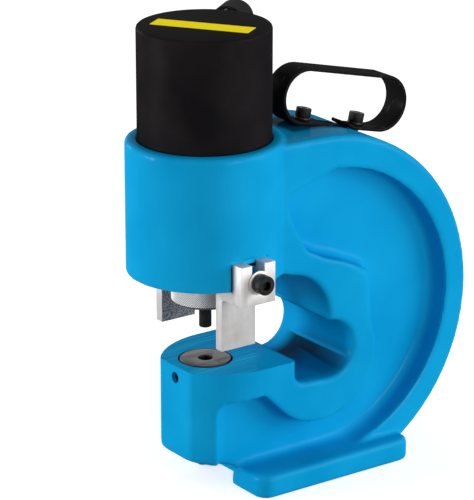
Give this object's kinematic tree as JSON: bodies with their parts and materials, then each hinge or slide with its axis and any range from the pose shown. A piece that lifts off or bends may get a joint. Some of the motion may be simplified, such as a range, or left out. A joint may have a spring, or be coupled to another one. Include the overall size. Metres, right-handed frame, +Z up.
{
  "type": "hydraulic hole punch",
  "caption": "Portable hydraulic punch: a cast C-frame with a flat foot, an upright cylinder in its head, a ram with a round punch over a die, two strippers and a carrying handle.",
  "frame": {"origin": "on the floor, in the middle of the casting's length and of its width", "axes": "+Z up; -X towards the nose, where the work goes in; +X towards the spine; -Y is the side seen in the picture"},
  "size_m": [0.3031, 0.1728, 0.3937],
  "materials": {
    "blue_paint": "glossy bright blue paint over cast metal",
    "black_paint": "satin black powder coat",
    "black_oxide_steel": "black oxide, lightly oiled",
    "bright_steel": "bright turned steel",
    "zinc_plated_steel": "satin, faintly scratched",
    "ground_steel": "hardened and ground, dark grey",
    "bronze": "plain turned bearing metal",
    "seal_rubber": "matt black",
    "guide_plastic": "matt brown"
  },
  "bodies": {
    "casting": {"frame": "blue_paint", "cylinder_body": "black_paint", "rod_guide": "bronze", "rod_wiper": "seal_rubber", "die": "ground_steel", "die_set_screw": "black_oxide_steel", "return_spring": "black_oxide_steel", "stripper_screw_near": "black_oxide_steel", "stripper_screw_far": "black_oxide_steel", "stripper_washer_near": "zinc_plated_steel", "stripper_washer_far": "zinc_plated_steel", "handle_strap": "black_paint", "handle_bolt_front": "black_oxide_steel", "handle_bolt_rear": "black_oxide_steel", "handle_washer_front": "black_oxide_steel", "handle_washer_rear": "black_oxide_steel", "coupler_nipple": "bright_steel", "coupler_spring": "bright_steel"},
    "ram_group": {"ram": "bright_steel", "piston": "bright_steel", "piston_screw": "black_oxide_steel", "piston_seal": "seal_rubber", "piston_wear_ring": "guide_plastic", "punch": "black_oxide_steel"},
    "nut": {"punch_nut": "bright_steel"},
    "near_stripper": {"stripper_near": "zinc_plated_steel"},
    "far_stripper": {"stripper_far": "zinc_plated_steel"},
    "poppet": {"coupler_poppet": "bright_steel"},
    "cap": {"dust_cap": "seal_rubber"}
  },
  "joints": [
    {"name": "ram_slide", "type": "slide", "parent": "casting", "child": "ram_group", "axis": [0, 0, -1], "range_m": [0, 0.032], "stiffness_N_per_m": 6000, "springref_m": -0.02, "deforming": ["return_spring"]},
    {"name": "punch_nut_turn", "type": "hinge", "parent": "ram_group", "child": "nut", "pos_m": [-0.08635, 0, 0.173], "axis": [0, 0, 1], "continuous": true},
    {"name": "near_stripper_slide", "type": "slide", "parent": "casting", "child": "near_stripper", "axis": [0, 0, -1], "range_m": [0, 0.012]},
    {"name": "far_stripper_slide", "type": "slide", "parent": "casting", "child": "far_stripper", "axis": [0, 0, -1], "range_m": [0, 0.012]},
    {"name": "coupler_poppet_slide", "type": "slide", "parent": "casting", "child": "poppet", "axis": [-0.788, -0.6157, 0], "range_m": [0, 0.003], "stiffness_N_per_m": 400, "springref_m": -0.002, "deforming": ["coupler_spring"]},
    {"name": "dust_cap_slide", "type": "slide", "parent": "casting", "child": "cap", "axis": [0.788, 0.6157, 0], "range_m": [0, 0.03]}
  ]
}
